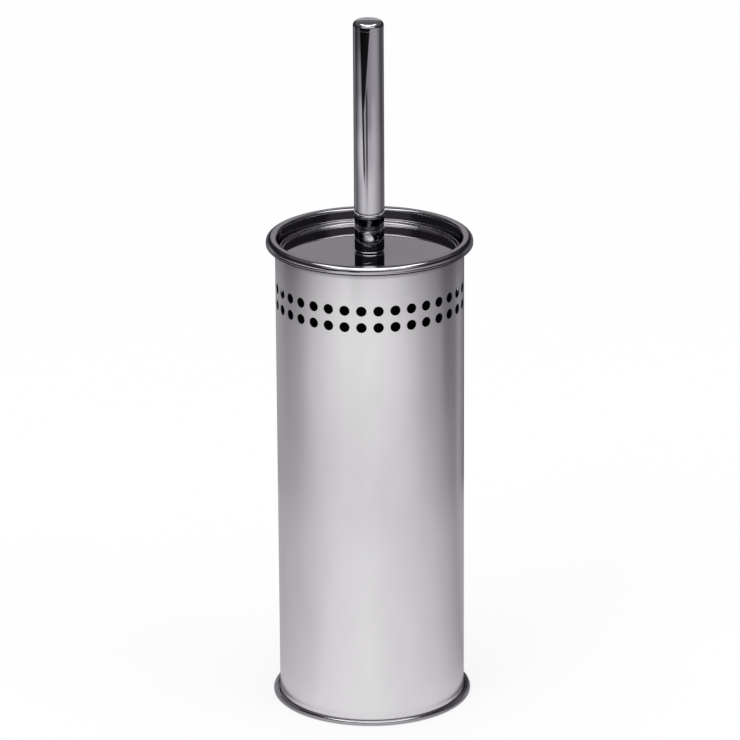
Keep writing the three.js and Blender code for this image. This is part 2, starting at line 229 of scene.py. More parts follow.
def zincSteel():
    spec = {"dark": (0.52, 0.53, 0.55), "pale": (0.64, 0.65, 0.66), "spangleScale": 700.0,
            "roughness": 0.3, "spangleRoughness": 0.15}
    material, r = newMaterial("zinc plated steel")
    spangle = r.node("ShaderNodeTexVoronoi", inputs={"Vector": r.place(), "Scale": spec["spangleScale"]},
                     output="Color")
    tint = r.axes(spangle)[0]
    r.surface(Base_Color=r.blend(tint, spec["dark"], spec["pale"]), Metallic=1.0,
              Roughness=spec["roughness"] + spec["spangleRoughness"] * tint)
    return material


def mouldedPlastic(name, tone, roughness, grainDepth):
    spec = {"grainScale": 2600.0, "cloudScale": 40.0, "lightShare": 1.35, "cloudRoughness": 0.1}
    material, r = newMaterial(name)
    grain = r.noise(even, spec["grainScale"], 3.0, 0.6)
    cloud = r.noise(even, spec["cloudScale"], 3.0, 0.5)
    light = tuple(spec["lightShare"] * part for part in tone)
    r.surface(Base_Color=r.blend(cloud, tone, light), Roughness=roughness + spec["cloudRoughness"] * cloud,
              Normal=r.bump(grain, grainDepth))
    return material


def bristleNylon():  # darker at the roots and paler at the tips
    spec = {"root": (0.014, 0.014, 0.016), "tip": (0.034, 0.034, 0.038), "tipsFrom": (0.024, 0.037),
            "roughness": 0.42, "tipRoughness": 0.2}
    material, r = newMaterial("bristle nylon")
    x, y, z = r.axes(r.place())
    tips = (x * x + y * y).root().rises(*spec["tipsFrom"])
    r.surface(Base_Color=r.blend(tips, spec["root"], spec["tip"]),
              Roughness=spec["roughness"] + spec["tipRoughness"] * tips)
    return material


finish = {
    "satin_steel": satinSteel(),
    "polished_steel": polishedSteel("polished steel", (0.62, 0.60, 0.63)),
    "polished_pan": polishedSteel("polished pan", (0.46, 0.445, 0.47)),
    "handle_chrome": handleChrome(),
    "ferrule_chrome": ferruleChrome(),
    "shaded_steel": paintedShadeSteel(),
    "blacked_edge": paintedSeamShade(),
    "zinc_steel": zincSteel(),
    "black_plastic": mouldedPlastic("black plastic", (0.018, 0.018, 0.020), 0.42, 0.015 * mm),
    "liner_plastic": mouldedPlastic("liner plastic", (0.040, 0.040, 0.045), 0.36, 0.02 * mm),
    "bristle": bristleNylon(),
}
print("finishes ready")


# modelling tools

def sizes(node):  # outer radius, bottom and top of a turned CAD piece, in mm
    low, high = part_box(node)
    return high.x / mm, low.z / mm, high.z / mm


def outline(bm, corners, closed):  # a profile in the plane y = 0; each corner is (r, z, rounding)
    verts = [bm.verts.new((r * mm, 0, z * mm)) for r, z, rounding in corners]
    ends = verts[1:] + verts[:1] if closed else verts[1:]
    for first, second in zip(verts, ends):
        bm.edges.new((first, second))
    for vert, (r, z, rounding) in zip(verts, corners):
        if rounding:
            bmesh.ops.bevel(bm, geom=[vert], offset=rounding * mm, offset_type="OFFSET", affect="VERTICES",
                            segments=max(3, round(5 * rounding) + 2), profile=0.5, material=-1)


def spun(bm, steps):
    bmesh.ops.spin(bm, geom=bm.verts[:] + bm.edges[:], cent=(0, 0, 0), axis=(0, 0, 1), angle=turn,
                   steps=steps, use_merge=True, use_duplicate=False)
    bmesh.ops.remove_doubles(bm, verts=bm.verts[:], dist=0.0005 * mm)
    bmesh.ops.recalc_face_normals(bm, faces=bm.faces[:])


def settle(piece):  # its modifiers become part of its mesh
    graph = bpy.context.evaluated_depsgraph_get()
    mesh = bpy.data.meshes.new_from_object(piece.evaluated_get(graph))
    piece.modifiers.clear()
    piece.data = mesh


def finished(name, bm, slotName, body, replaced, sheet=0.0, look=None, backLook=None):
    mesh = bpy.data.meshes.new(name)
    bm.to_mesh(mesh)
    bm.free()
    for used in [look or slotName] + ([backLook] if backLook else []):
        mesh.materials.append(finish[used])
    piece = bpy.data.objects.new(name, mesh)
    bpy.context.scene.collection.objects.link(piece)
    if sheet:
        wall = piece.modifiers.new("sheet", "SOLIDIFY")
        wall.thickness, wall.offset, wall.use_even_offset = sheet * mm, -1.0, True
        wall.material_offset = wall.material_offset_rim = 1 if backLook else 0
    settle(piece)
    piece.data.shade_smooth()
    piece.data.set_sharp_from_angle(angle=math.radians(38))
    normals = piece.modifiers.new("normals", "WEIGHTED_NORMAL")
    normals.keep_sharp, normals.weight = True, 100
    settle(piece)
    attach(piece, body)
    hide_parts(*replaced)


def faceAway(bm, probe):  # an open sheet's faces turned so that the one nearest to the probe looks at it
    bm.faces.ensure_lookup_table()
    nearest = min(bm.faces, key=lambda face: (face.calc_center_median() - probe).length)
    if nearest.normal.dot(probe - nearest.calc_center_median()) < 0:
        bmesh.ops.reverse_faces(bm, faces=bm.faces[:])


def pressedSheet(name, corners, probe, slotName, body, replaced, sheet, look=None):
    bm = bmesh.new()
    outline(bm, corners, closed=False)
    spun(bm, 256)
    faceAway(bm, Vector(probe) * mm)
    finished(name, bm, slotName, body, replaced, sheet=sheet, look=look)


def turnedSolid(name, corners, slotName, body, replaced, steps, closed=True):
    bm = bmesh.new()
    outline(bm, corners, closed)
    spun(bm, steps)
    finished(name, bm, slotName, body, replaced)


# canister

def canisterShell():
    spec = {"sheet": 0.6, "holesPerRow": 35, "rows": 2, "rowPitch": 9.0, "holeDiameter": 5.5,
            "firstRowBelowTop": 22.1, "holeSegments": 32, "flareHeight": 2.4, "flare": 0.35,
            "weldWidth": 0.8, "weldDepth": 0.15, "weldReach": 3,
            "facesAbove": 3, "facesBelow": 14, "facesInFlare": 6}  # up the plain parts of the sheet
    radius, low, high = sizes("canister_shell")
    cell = turn * radius / spec["holesPerRow"]
    bm = bmesh.new()

    # one column of the flat sheet: x along the sheet, z up, a square cell round each hole
    for row in range(spec["rows"]):
        middle = Matrix.Translation((0, 0, high - spec["firstRowBelowTop"] - row * spec["rowPitch"]))
        upright = middle @ Matrix.Rotation(math.pi / 2, 4, "X")
        loops = []
        for size in (spec["holeDiameter"] / 2, 1.0):
            loops.append(bmesh.ops.create_circle(bm, cap_ends=False, segments=spec["holeSegments"],
                                                 radius=size)["verts"])
        for vert in loops[1]:
            square = max(abs(vert.co.x), abs(vert.co.y))
            vert.co.x *= cell / 2 / square
            vert.co.y *= spec["rowPitch"] / 2 / square
        edges = [edge for edge in bm.edges if edge.verts[0] in loops[0] + loops[1]]
        spokes = bmesh.ops.bridge_loops(bm, edges=edges)["edges"]
        bmesh.ops.subdivide_edges(bm, edges=spokes, cuts=2, use_grid_fill=True)
        fresh = [vert for vert in bm.verts if abs(vert.co.z) < 1e-6]
        bmesh.ops.transform(bm, matrix=upright, verts=fresh)
    bmesh.ops.remove_doubles(bm, verts=bm.verts[:], dist=0.01)

    def extend(level, target, steps):  # the plain sheet above or below the rows
        edges = [edge for edge in bm.edges if all(abs(vert.co.z - level) < 0.01 for vert in edge.verts)]
        for step in range(steps):
            grown = bmesh.ops.extrude_edge_only(bm, edges=edges)["geom"]
            verts = [part for part in grown if isinstance(part, bmesh.types.BMVert)]
            edges = [part for part in grown if isinstance(part, bmesh.types.BMEdge)]
            bmesh.ops.translate(bm, verts=verts, vec=(0, 0, (target - level) / steps))

    topLine = high - spec["firstRowBelowTop"] + spec["rowPitch"] / 2
    bottomLine = topLine - spec["rows"] * spec["rowPitch"]
    flareLine = low + spec["flareHeight"]
    extend(topLine, high, spec["facesAbove"])
    extend(bottomLine, flareLine, spec["facesBelow"])
    extend(flareLine, low, spec["facesInFlare"])

    for vert in bm.verts:  # the column rolled to the canister's radius, with a slight flare at the foot
        angle = vert.co.x / radius
        dip = max(0, 1 - (vert.co.z - low) / spec["flareHeight"])
        reach = radius + spec["flare"] * dip ** 2
        vert.co = Vector((reach * math.sin(angle), -reach * math.cos(angle), vert.co.z)) * mm
    pitch = turn / spec["holesPerRow"]
    bmesh.ops.rotate(bm, verts=bm.verts[:], cent=(0, 0, 0), matrix=Matrix.Rotation(pitch / 2, 3, "Z"))
    bmesh.ops.spin(bm, geom=bm.verts[:] + bm.edges[:] + bm.faces[:], cent=(0, 0, 0), axis=(0, 0, 1),
                   angle=turn, steps=spec["holesPerRow"], use_duplicate=True)
    bmesh.ops.remove_doubles(bm, verts=bm.verts[:], dist=0.005 * mm)

    # the weld: a shallow groove down the back, midway between two columns of holes
    seam = math.pi - pitch / 2
    outward = Vector((math.sin(seam), -math.cos(seam), 0))
    across = Vector((math.cos(seam), math.sin(seam), 0))
    line = outward * radius * mm
    for side in (-1, 1):
        near = [face for face in bm.faces
                if (face.calc_center_median() - line).xy.length < spec["weldReach"] * mm]
        edges = {edge for face in near for edge in face.edges}
        bmesh.ops.bisect_plane(bm, geom=near + list(edges), dist=0.001 * mm, plane_no=across,
                               plane_co=across * side * spec["weldWidth"] / 2 * mm)
    for vert in bm.verts:
        if abs(vert.co.dot(across)) < 0.01 * mm and vert.co.dot(outward) > 0:
            vert.co -= outward * spec["weldDepth"] * mm
    bmesh.ops.recalc_face_normals(bm, faces=bm.faces[:])
    faceAway(bm, Vector((0, -2 * radius, high / 2)) * mm)
    # the inside of the sheet and the hole edges take the painted shade
    finished("perforatedShell", bm, "satin_steel", "canister", ["canister_shell"],
             sheet=spec["sheet"], backLook="shaded_steel")


def collar():
    spec = {"sheet": 0.4, "ledgeDepth": 8.8, "ledgeBore": 45.3, "wallRadius": 48.9, "wallFoot": 0.5,
            "mouthCorner": 1.7, "crown": 2.8, "footCorner": 0.9, "beadHeight": 4.7, "curlRadius": 50.6,
            "paintedShadeReach": 1.05}
    outer, low, high = sizes("collar_ring")
    curlZ = high - spec["beadHeight"]
    ledge = high - spec["ledgeDepth"]
    corners = [
        (spec["ledgeBore"], ledge, 0),
        (spec["wallRadius"], ledge, spec["wallFoot"]),
        (spec["wallRadius"], high, spec["mouthCorner"]),
        (outer, high, spec["crown"]),
        (outer, curlZ, spec["footCorner"]),
        (spec["curlRadius"], curlZ, 0),
    ]
    bm = bmesh.new()
    outline(bm, corners, closed=False)
    spun(bm, 256)
    faceAway(bm, Vector((outer + 20, 0, high + 20)) * mm)
    for face in bm.faces:  # the curl under the bead gets painted seam shade, dead black
        middle = face.calc_center_median()
        if middle.z < (curlZ + spec["paintedShadeReach"]) * mm and middle.xy.length > spec["curlRadius"] * mm:
            face.material_index = 1
    # the back of the collar's sheet takes the same painted shade
    finished("collar", bm, "polished_steel", "canister", ["collar_ring"], sheet=spec["sheet"],
             backLook="blacked_edge")


def basePan():
    spec = {"sheet": 0.5, "seatRadius": 43.9, "seatDepth": 2.0, "bend": 0.6, "spigotRadius": 49.3,
            "stepHeight": 2.1, "stepRadius": 50.0, "fold": 0.15, "grooveFloor": 1.4, "grooveRadius": 50.8,
            "beadHeight": 2.5, "beadShoulder": 0.8, "beadCrown": 2.1, "beadFoot": 0.35, "hemRadius": 50.3}
    outer, low, high = sizes("base_pan")
    seat = high - spec["seatDepth"]
    corners = [
        (0, seat, 0),
        (spec["seatRadius"], seat, spec["bend"]),
        (spec["seatRadius"], high, spec["bend"]),
        (spec["spigotRadius"], high, spec["bend"]),
        (spec["spigotRadius"], spec["stepHeight"], spec["fold"]),
        (spec["stepRadius"], spec["stepHeight"], spec["fold"]),
        (spec["stepRadius"], spec["grooveFloor"], spec["fold"]),
        (spec["grooveRadius"], spec["grooveFloor"], spec["fold"]),
        (spec["grooveRadius"], spec["beadHeight"], spec["beadShoulder"]),
        (outer, spec["beadHeight"], spec["beadCrown"]),
        (outer, 0, spec["beadFoot"]),
        (spec["hemRadius"], 0, 0),
    ]
    pressedSheet("basePan", corners, (outer + 20, 0, 20), "polished_steel", "canister", ["base_pan"],
                 spec["sheet"], look="polished_pan")


# liner and lid

def dripLiner():
    spec = {"wall": 1.5, "footRadius": 42.9, "footBend": 1.2, "floorBend": 1.5,
            "lipReach": 0.6, "lipHeight": 2.0, "lipUnder": 0.2, "lipOuter": 0.3, "lipInner": 0.4}
    outer, low, high = sizes("drip_liner")
    top = outer - spec["lipReach"]
    corners = [
        (0, low, 0),
        (spec["footRadius"], low, spec["footBend"]),
        (top, high - spec["lipHeight"], 0),
        (outer, high - spec["lipHeight"], spec["lipUnder"]),
        (outer, high, spec["lipOuter"]),
        (top - spec["wall"], high, spec["lipInner"]),
        (spec["footRadius"] - spec["wall"], low + spec["wall"], spec["floorBend"]),
        (0, low + spec["wall"], 0),
    ]
    turnedSolid("dripLiner", corners, "liner_plastic", "liner", ["drip_liner"], 160, closed=False)


def lidPlate():
    spec = {"sheet": 0.4, "bore": 4.3, "rollRadius": 0.7, "fillet": 1.2}
    outer, low, high = sizes("lid_plate")
    floor = low + spec["sheet"]
    roll = spec["rollRadius"]
    corners = [
        (spec["bore"], floor, 0),
        (outer - 2 * roll, floor, spec["fillet"]),
        (outer - 2 * roll, high, roll - 0.01),
        (outer, high, roll - 0.01),
        (outer, high - 1.5 * roll, 0),
    ]
    pressedSheet("lidPlate", corners, (20, 0, high + 30), "polished_steel", "lid", ["lid_plate"],
                 spec["sheet"])


# brush

def handle():
    spec = {"bore": 7.25, "boreEdge": 0.1, "lip": 0.6, "seam": 0.05, "plugRadius": 6.95, "plugEdge": 0.3,
            "capCorner": 2.3, "capCrown": 0.5, "crownShare": 0.4, "crownBend": 3.0, "capPlug": 10.0,
            "capSeat": 0.29, "ferruleSpigot": 14.0, "ferruleBore": 4.3, "boreDepth": 14.3, "boreMouth": 0.2,
            "ferruleFoot": 1.1, "shoulderEdge": 0.15, "ferruleRows": 56, "markedSkin": 1.5,
            # a sloping set mark and a pin hole: azimuth, height above the ferrule's foot, reach, depth,
            # and the share of the depth that is lost at the lower edge
            "marks": [(-3.0, 9.3, 3.2, 2.4, 1.0), (26.6, 8.4, 1.3, 1.2, 0.0)]}
    seam = spec["seam"]
    radius, low, high = sizes("handle_tube")
    turnedSolid("handleTube", [
        (spec["bore"], low, spec["boreEdge"]), (radius, low, spec["lip"]), (radius, high, seam),
        (spec["bore"], high, spec["boreEdge"]),
    ], "handle_chrome", "brush", ["handle_tube"], 160)

    radius, low, high = sizes("handle_cap")
    brim = low + spec["capPlug"] - spec["capSeat"]
    turnedSolid("handleCap", [
        (0, low, 0), (spec["plugRadius"], low, spec["plugEdge"]), (spec["plugRadius"], brim, seam),
        (radius, brim, seam), (radius, high - spec["capCrown"], spec["capCorner"]),
        (radius * spec["crownShare"], high, spec["crownBend"]), (0, high, 0),
    ], "handle_chrome", "brush", ["handle_cap"], 160, closed=False)

    radius, low, high = sizes("ferrule")
    shoulder = high - spec["ferruleSpigot"]
    bm = bmesh.new()
    outline(bm, [
        (0, low + spec["boreDepth"], 0), (spec["ferruleBore"], low + spec["boreDepth"], seam),
        (spec["ferruleBore"], low, spec["boreMouth"]), (radius, low, spec["ferruleFoot"]),
        (radius, shoulder, spec["shoulderEdge"]), (spec["plugRadius"], shoulder, seam),
        (spec["plugRadius"], high, spec["plugEdge"]), (0, high, 0),
    ], closed=False)
    side = [edge for edge in bm.edges if all(abs(vert.co.x / mm - radius) < 0.001 for vert in edge.verts)]
    bmesh.ops.subdivide_edges(bm, edges=side, cuts=spec["ferruleRows"])
    spun(bm, 192)
    for azimuth, height, reach, depth, slope in spec["marks"]:
        outward = Vector((math.sin(math.radians(azimuth)), -math.cos(math.radians(azimuth)), 0))
        middle = outward * radius * mm + Vector((0, 0, (low + height) * mm))
        for vert in bm.verts:
            away = (vert.co - middle).length / (reach * mm)
            if away < 1 and vert.co.xy.length > (radius - spec["markedSkin"]) * mm:
                rise = (vert.co.z - middle.z) / (reach * mm)
                vert.co -= outward * depth * mm * (1 - away ** 4) * (1 - slope * (1 - rise) / 2)
    finished("ferruleSleeve", bm, "handle_chrome", "brush", ["ferrule"], look="ferrule_chrome")


def fixings():
    spec = {"threadPitch": 1.25, "threadDepth": 0.6, "turnSteps": 32, "bore": 4.3, "washerEdge": 0.2,
            "nutEdge": 0.3, "nutRim": 1.0, "nutRecess": (0.9, 1.2)}
    radius, low, high = sizes("threaded_rod")
    pitch, root = spec["threadPitch"], radius - spec["threadDepth"]
    bm = bmesh.new()
    thread = [(root, 1.0), (root, 0.88), (radius, 0.55), (radius, 0.45), (root, 0.12), (root, 0.0)]
    outline(bm, [(reach, low - pitch * share, 0) for reach, share in thread], closed=False)
    turns = math.ceil((high - low) / pitch) + 2
    bmesh.ops.spin(bm, geom=bm.verts[:] + bm.edges[:], cent=(0, 0, 0), axis=(0, 0, 1),
                   angle=turns * turn, dvec=(0, 0, pitch * mm / spec["turnSteps"]),
                   steps=turns * spec["turnSteps"], use_merge=False, use_duplicate=False)
    bmesh.ops.remove_doubles(bm, verts=bm.verts[:], dist=0.01 * mm)
    for level, side in ((low, -1), (high, 1)):
        cut = bmesh.ops.bisect_plane(bm, geom=bm.verts[:] + bm.edges[:] + bm.faces[:], dist=0.001 * mm,
                                     plane_co=(0, 0, level * mm), plane_no=(0, 0, side), clear_outer=True)
        rim = [part for part in cut["geom_cut"] if isinstance(part, bmesh.types.BMEdge)]
        bmesh.ops.contextual_create(bm, geom=rim)
    bmesh.ops.recalc_face_normals(bm, faces=bm.faces[:])
    finished("threadedRod", bm, "zinc_steel", "brush", ["threaded_rod"])

    radius, low, high = sizes("lid_washer")
    edge = spec["washerEdge"]
    turnedSolid("lidWasher", [(spec["bore"], low, edge), (radius, low, edge), (radius, high, edge),
                              (spec["bore"], high, edge)], "zinc_steel", "brush", ["lid_washer"], 96)

    low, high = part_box("lock_nut")
    bm = bmesh.new()
    corner = (high.y - low.y) / 2  # two corners of the hexagon lie on the y axis
    bmesh.ops.create_cone(bm, cap_ends=True, segments=6, radius1=corner, radius2=corner,
                          depth=high.z - low.z)
    bmesh.ops.translate(bm, verts=bm.verts[:], vec=(0, 0, (low.z + high.z) / 2))
    caps = [face for face in bm.faces if abs(face.normal.z) > 0.5]
    slope, sink = spec["nutRecess"]
    bmesh.ops.inset_individual(bm, faces=caps, thickness=spec["nutRim"] * mm, depth=0)
    bmesh.ops.inset_individual(bm, faces=caps, thickness=slope * mm, depth=-sink * mm)
    corners = [edge for edge in bm.edges if all(vert.co.xy.length > corner * 0.99 for vert in edge.verts)]
    bmesh.ops.bevel(bm, geom=corners, offset=spec["nutEdge"] * mm, offset_type="OFFSET", affect="EDGES",
                    segments=2, profile=0.5, material=-1)
    finished("lockNut", bm, "zinc_steel", "brush", ["lock_nut"])


def stemAndCore():
    spec = {"bore": 4.3, "boreDepth": 22.3, "boreEdge": 0.1, "stemEdge": 0.4, "socket": 6.3,
            "socketDepth": 18.0, "socketEdge": 0.2, "neckRadius": 8.6, "neckLength": 12.0, "neckEdge": 0.5,
            "coneLength": 9.0, "coneBend": 1.5, "nose": 6.0, "noseBend": 2.0, "tipShare": 0.6,
            "tipRiseShare": 0.2, "tipBend": 1.0}
    radius, low, high = sizes("stem")
    turnedSolid("brushStem", [
        (0, low, 0), (radius, low, spec["stemEdge"]), (radius, high, spec["stemEdge"]),
        (spec["bore"], high, spec["boreEdge"]), (spec["bore"], high - spec["boreDepth"], spec["boreEdge"]),
        (0, high - spec["boreDepth"], 0),
    ], "black_plastic", "brush", ["stem"], 64, closed=False)

    radius, low, high = sizes("head_core")
    shoulder = high - spec["neckLength"] - spec["coneLength"]
    turnedSolid("headCore", [
        (0, low, 0), (radius * spec["tipShare"], low + spec["nose"] * spec["tipRiseShare"], spec["tipBend"]),
        (radius, low + spec["nose"], spec["noseBend"]), (radius, shoulder, spec["coneBend"]),
        (spec["neckRadius"], shoulder + spec["coneLength"], spec["coneBend"]),
        (spec["neckRadius"], high, spec["neckEdge"]), (spec["socket"], high, spec["socketEdge"]),
        (spec["socket"], high - spec["socketDepth"], spec["socketEdge"]), (0, high - spec["socketDepth"], 0),
    ], "black_plastic", "brush", ["head_core"], 64, closed=False)


def bristles():
    spec = {"tufts": 12, "perTuft": 34, "rootRadius": 10.2, "rootSpread": 1.5, "tipWidth": 3.8,
            "filament": 0.24, "tipScatter": 1.2, "bow": 0.5, "fanPower": 1.3, "risePower": 1.5, "inset": 0.3,
            "noseTufts": 9, "noseRoot": 5.0, "noseBelowTop": 2.2, "noseTipLift": 5.2, "noseHalf": 2.6}
    chance = random.Random(4)

    def tuftCurve(name, tufts, halfTurn, rootReach, tipReach, middle, tipRise, tipHalf, node):
        curve = bpy.data.curves.new(name, "CURVE")
        curve.dimensions, curve.bevel_depth, curve.bevel_resolution = "3D", spec["filament"] * mm, 0
        curve.use_fill_caps = True
        for tuft in range(tufts):
            angle = (tuft + halfTurn) * turn / tufts
            out = Vector((math.cos(angle), math.sin(angle), 0))
            side = Vector((-math.sin(angle), math.cos(angle), 0))
            for strand in range(spec["perTuft"]):
                spread, spin = math.sqrt(chance.random()), chance.uniform(0, turn)
                across, up = spread * math.cos(spin), spread * math.sin(spin)
                tipOut = tipReach - chance.uniform(0, spec["tipScatter"])
                bow = chance.uniform(-spec["bow"], spec["bow"])
                spline = curve.splines.new("POLY")
                spline.points.add(3)
                for index in range(4):
                    along = index / 3
                    fan = along ** spec["fanPower"]
                    reach = rootReach + (tipOut - rootReach) * along
                    sideways = across * (spec["rootSpread"] + (spec["tipWidth"] - spec["rootSpread"]) * fan)
                    rise = up * (spec["rootSpread"] + (tipHalf - spec["rootSpread"]) * fan)
                    rise += tipRise * along ** spec["risePower"] + bow * math.sin(math.pi * along)
                    point = out * reach + side * sideways + Vector((0, 0, middle + rise))
                    spline.points[index].co = (*(point * mm), 1)
        holder = bpy.data.objects.new(name, curve)
        bpy.context.scene.collection.objects.link(holder)
        mesh = bpy.data.meshes.new_from_object(holder.evaluated_get(bpy.context.evaluated_depsgraph_get()))
        bpy.data.objects.remove(holder)
        piece = bpy.data.objects.new(name, mesh)
        bpy.context.scene.collection.objects.link(piece)
        mesh.materials.clear()
        mesh.materials.append(finish["bristle"])
        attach(piece, "brush")
        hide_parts(node)

    rings = sorted(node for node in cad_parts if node.startswith("tuft_ring_"))
    for ring, node in enumerate(rings):
        outer, low, high = sizes(node)
        tuftCurve(f"bristleRing{ring + 1:02d}", spec["tufts"], ring % 2 / 2, spec["rootRadius"],
                  outer - spec["inset"], (low + high) / 2, 0, (high - low) / 2 - spec["inset"], node)
    low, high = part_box("nose_tufts")
    tuftCurve("bristleNose", spec["noseTufts"], 0, spec["noseRoot"], high.x / mm - spec["inset"],
              high.z / mm - spec["noseBelowTop"], low.z / mm - high.z / mm + spec["noseTipLift"],
              spec["noseHalf"], "nose_tufts")


canisterShell()
collar()
basePan()
print("canister ready")
dripLiner()
lidPlate()
print("liner and lid ready")
handle()
fixings()
stemAndCore()
bristles()
print("brush ready")


# studio

def staged(name, bm, material):
    mesh = bpy.data.meshes.new(name)
    bm.to_mesh(mesh)
    bm.free()
    mesh.materials.append(material)
    thing = bpy.data.objects.new(name, mesh)
    bpy.context.scene.collection.objects.link(thing)
    return thing


def forReflections(thing):  # only mirror-like surfaces see it
    thing.visible_camera = thing.visible_diffuse = thing.visible_transmission = thing.visible_shadow = False


def glowing(r, grey, tint):  # the tint fades out where the cloth is bright
    parts = {channel: grey * (share + (1 - share) * grey) for channel, share in enumerate(tint)}
    colour = r.node("ShaderNodeCombineXYZ", inputs=parts)
    glow = r.node("ShaderNodeEmission", inputs={"Color": colour, "Strength": 1.0})
    r.node("ShaderNodeOutputMaterial", inputs={"Surface": glow})


def studioFloor():  # white to the camera and in reflections, with a share of its real shading kept
    spec = {"radius": 40.0, "shadowShare": 0.25, "paper": 0.9}
    material, r = newMaterial("pale floor")
    rays = r.node("ShaderNodeLightPath").socket.node.outputs
    seen = Wire(r, rays["Is Camera Ray"])
    for kind in ("Is Glossy Ray", "Is Transmission Ray"):
        seen = seen.atLeast(Wire(r, rays[kind]))
    paper = r.node("ShaderNodeBsdfDiffuse", inputs={"Color": (spec["paper"],) * 3 + (1,)})
    glow = r.node("ShaderNodeEmission", inputs={"Color": (1, 1, 1, 1), "Strength": 1.0})
    shader = r.node("ShaderNodeMixShader", inputs={
        "Fac": seen * (1 - spec["shadowShare"]), 1: paper, 2: glow})
    r.node("ShaderNodeOutputMaterial", inputs={"Surface": shader})
    bm = bmesh.new()
    bmesh.ops.create_circle(bm, cap_ends=True, segments=96, radius=spec["radius"])
    staged("floor", bm, material)


